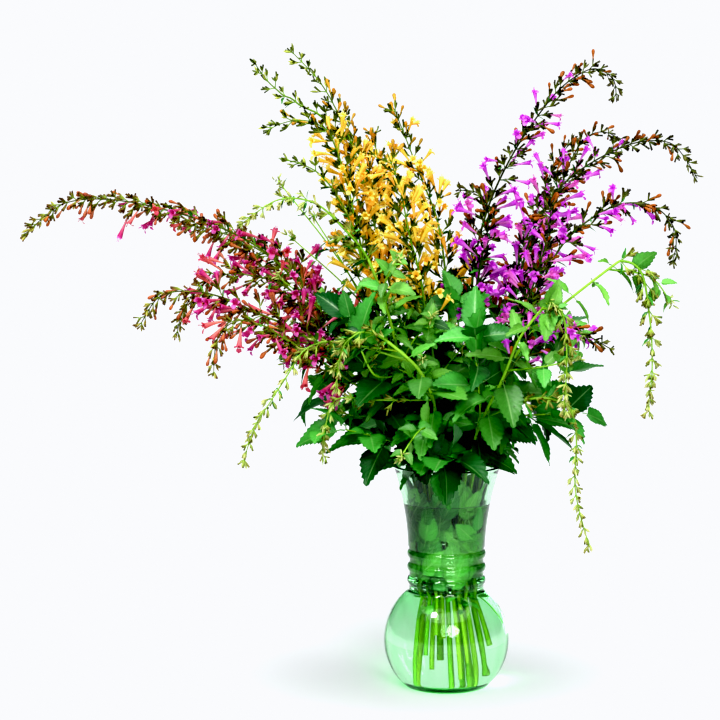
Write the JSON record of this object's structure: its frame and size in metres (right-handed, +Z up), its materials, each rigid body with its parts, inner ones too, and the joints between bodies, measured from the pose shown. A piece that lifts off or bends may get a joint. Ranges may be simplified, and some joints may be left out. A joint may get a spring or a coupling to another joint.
{
  "type": "agastache in vase",
  "caption": "Bouquet of cut pink, yellow and purple agastache spikes and leafy shoots, arching out of a green glass vase with a ball base, ringed neck and flared mouth.",
  "frame": {"origin": "middle of the vase's flat foot, on the surface it stands on", "axes": "+Z up, +X to the right of the bouquet's front, +Y towards its back"},
  "size_m": [0.5982, 0.315, 0.5656],
  "materials": {
    "glass": "gloss",
    "water": "gloss",
    "stalk": "satin",
    "leaf": "satin",
    "pink_flower": "satin",
    "yellow_flower": "satin",
    "purple_flower": "satin",
    "green_bud": "satin"
  },
  "bodies": {
    "root": {"glass_vase": "glass", "green_1_spike": "green_bud", "green_1_stem": "stalk", "green_2_spike": "green_bud", "green_2_stem": "stalk", "green_3_spike": "green_bud", "green_3_stem": "stalk", "green_side_1": "green_bud", "green_side_2": "green_bud", "green_side_3": "green_bud", "leafy_shoot_1": "leaf", "leafy_shoot_10": "leaf", "leafy_shoot_11": "leaf", "leafy_shoot_12": "leaf", "leafy_shoot_2": "leaf", "leafy_shoot_3": "leaf", "leafy_shoot_4": "leaf", "leafy_shoot_5": "leaf", "leafy_shoot_6": "leaf", "leafy_shoot_7": "leaf", "leafy_shoot_8": "leaf", "leafy_shoot_9": "leaf", "neck_leaf_1": "leaf", "neck_leaf_2": "leaf", "pink_1_spike": "pink_flower", "pink_1_stem": "stalk", "pink_2_spike": "pink_flower", "pink_2_stem": "stalk", "pink_3_spike": "pink_flower", "pink_3_stem": "stalk", "pink_side_1": "pink_flower", "pink_side_2": "pink_flower", "purple_1_spike": "purple_flower", "purple_1_stem": "stalk", "purple_2_spike": "purple_flower", "purple_2_stem": "stalk", "purple_3_spike": "purple_flower", "purple_3_stem": "stalk", "purple_4_spike": "purple_flower", "purple_4_stem": "stalk", "purple_side_1": "purple_flower", "purple_side_2": "purple_flower", "purple_side_3": "purple_flower", "purple_side_4": "purple_flower", "water": "water", "yellow_1_spike": "yellow_flower", "yellow_1_stem": "stalk", "yellow_2_spike": "yellow_flower", "yellow_2_stem": "stalk", "yellow_3_spike": "green_bud", "yellow_3_stem": "stalk", "yellow_4_spike": "yellow_flower", "yellow_4_stem": "stalk", "yellow_5_spike": "yellow_flower", "yellow_5_stem": "stalk", "yellow_6_spike": "yellow_flower", "yellow_6_stem": "stalk", "yellow_side_1": "yellow_flower", "yellow_side_2": "yellow_flower", "yellow_side_3": "yellow_flower"}
  },
  "joints": []
}
